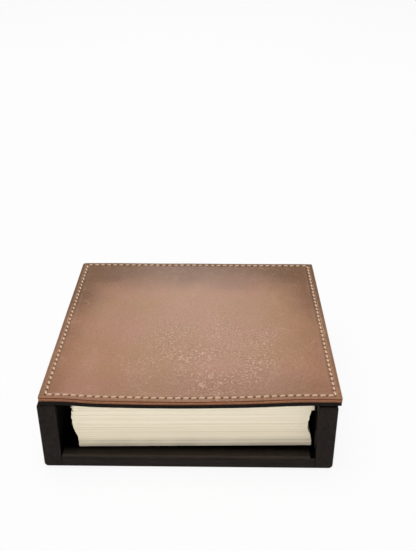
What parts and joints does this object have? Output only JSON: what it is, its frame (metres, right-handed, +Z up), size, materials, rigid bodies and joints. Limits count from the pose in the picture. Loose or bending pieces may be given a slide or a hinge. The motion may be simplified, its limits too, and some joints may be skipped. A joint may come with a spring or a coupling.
{
  "type": "memo pad holder",
  "caption": "Open-fronted dark wooden memo box with loose square notes on a pull-out board, under a stitched tan leather lid on a leather hinge.",
  "frame": {"origin": "middle of the felt's underside, on the surface that the box stands on", "axes": "+Z up, +X to the right and +Y to the back as seen from the open front"},
  "size_m": [0.111, 0.1046, 0.0345],
  "materials": {
    "dark_wood": "black-brown stain, satin, softened edges",
    "dark_board": "black-brown stain, matt",
    "felt": "short-fibre felt",
    "note_paper": "uncoated cream paper",
    "tan_leather": "fine smooth grain, soft sheen",
    "black_leather": "napped flesh side",
    "hinge_leather": "thin black leather"
  },
  "bodies": {
    "case": {"base_board": "dark_wood", "left_wall": "dark_wood", "right_wall": "dark_wood", "back_wall": "dark_wood", "base_felt": "felt", "hinge_leaf": "hinge_leather"},
    "board": {"pull_out_board": "dark_board", "note_pack_bottom": "note_paper", "note_pack_lower": "note_paper", "note_pack_middle": "note_paper", "note_pack_upper": "note_paper", "note_pack_top": "note_paper"},
    "notes": {"loose_notes": "note_paper"},
    "lid": {"lid_leather": "tan_leather", "lid_lining": "black_leather", "hinge_lap_strip": "hinge_leather"}
  },
  "joints": [
    {"name": "lid_hinge", "type": "hinge", "parent": "case", "child": "lid", "pos_m": [0, 0.0523, 0.0314], "axis": [-1, 0, 0], "range_deg": [0, 175]},
    {"name": "board_slide", "type": "slide", "parent": "case", "child": "board", "axis": [0, -1, 0], "range_m": [0, 0.08]},
    {"name": "note_slide", "type": "slide", "parent": "board", "child": "notes", "axis": [0, -1, 0], "range_m": [0, 0.085]}
  ]
}
